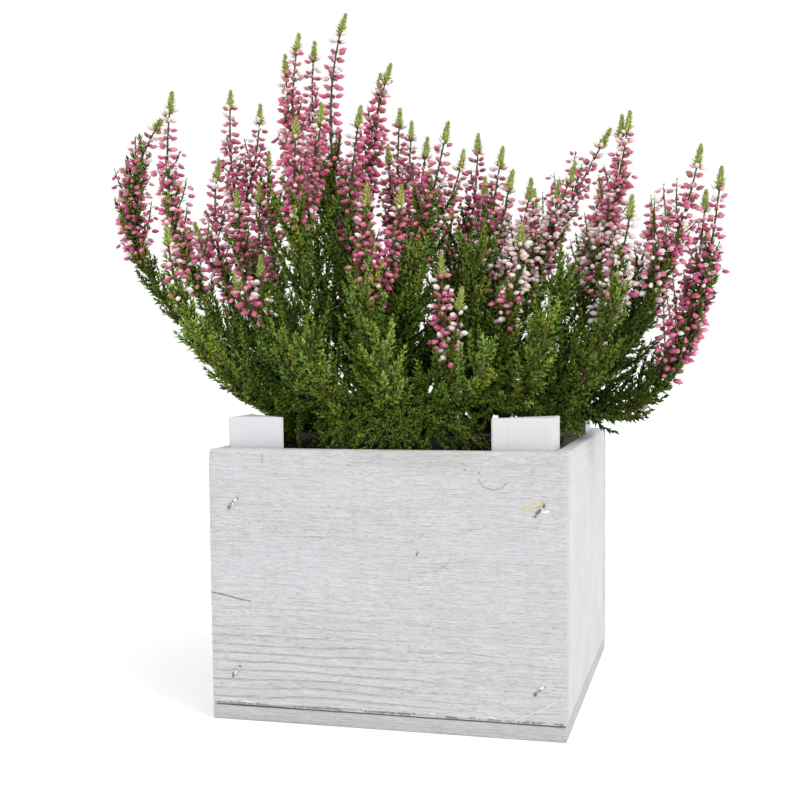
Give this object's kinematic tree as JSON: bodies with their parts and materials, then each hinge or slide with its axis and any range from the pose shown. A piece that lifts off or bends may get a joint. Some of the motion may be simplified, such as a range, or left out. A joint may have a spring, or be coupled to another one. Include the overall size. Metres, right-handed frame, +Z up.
{
  "type": "potted heather",
  "caption": "Bud-flowering heather with pink flower spikes over feathery foliage, in a black nursery pot that stands in a small white-painted wooden crate.",
  "frame": {"origin": "centre of the crate's flat underside", "axes": "+Z up, the crate's front faces -Y, +X to the viewer's right"},
  "size_m": [0.3017, 0.1892, 0.334],
  "materials": {
    "white_paint": "matt white paint over rough-sawn softwood",
    "staple_steel": "dull galvanised wire, partly painted over",
    "black_plastic": "satin black thermoformed plastic",
    "peat": "moist crumbly peat",
    "foliage": "small scale leaves on thin woody stems",
    "petals": "papery pink buds"
  },
  "bodies": {
    "root": {"base_board": "white_paint", "front_board": "white_paint", "back_board": "white_paint", "left_board": "white_paint", "right_board": "white_paint", "corner_post_front_left": "white_paint", "corner_post_front_right": "white_paint", "corner_post_back_left": "white_paint", "corner_post_back_right": "white_paint", "staple_front_left_high": "staple_steel", "staple_front_left_low": "staple_steel", "staple_front_right_high": "staple_steel", "staple_front_right_low": "staple_steel", "staple_back_left_high": "staple_steel", "staple_back_left_low": "staple_steel", "staple_back_right_high": "staple_steel", "staple_back_right_low": "staple_steel", "nursery_pot": "black_plastic", "soil": "peat", "leafy_branch_left": "foliage", "leafy_branch_far_left": "foliage", "leafy_branch_left_back": "foliage", "leafy_branch_inner_left": "foliage", "leafy_branch_middle": "foliage", "leafy_branch_back": "foliage", "leafy_branch_front": "foliage", "leafy_branch_inner_right": "foliage", "leafy_branch_right": "foliage", "leafy_branch_far_right": "foliage", "flower_spike_01": "petals", "flower_spike_02": "petals", "flower_spike_03": "petals", "flower_spike_04": "petals", "flower_spike_05": "petals", "flower_spike_06": "petals", "flower_spike_07": "petals", "flower_spike_08": "petals", "flower_spike_09": "petals", "flower_spike_10": "petals", "flower_spike_11": "petals", "flower_spike_12": "petals", "flower_spike_13": "petals", "flower_spike_14": "petals", "flower_spike_15": "petals", "flower_spike_16": "petals", "flower_spike_17": "petals", "flower_spike_18": "petals", "flower_spike_19": "petals", "flower_spike_20": "petals", "flower_spike_21": "petals", "flower_spike_22": "petals", "flower_spike_23": "petals", "flower_spike_24": "petals", "flower_spike_25": "petals", "flower_spike_26": "petals", "flower_spike_27": "petals", "flower_spike_28": "petals", "flower_spike_29": "petals", "flower_spike_30": "petals", "flower_spike_31": "petals"}
  },
  "joints": []
}
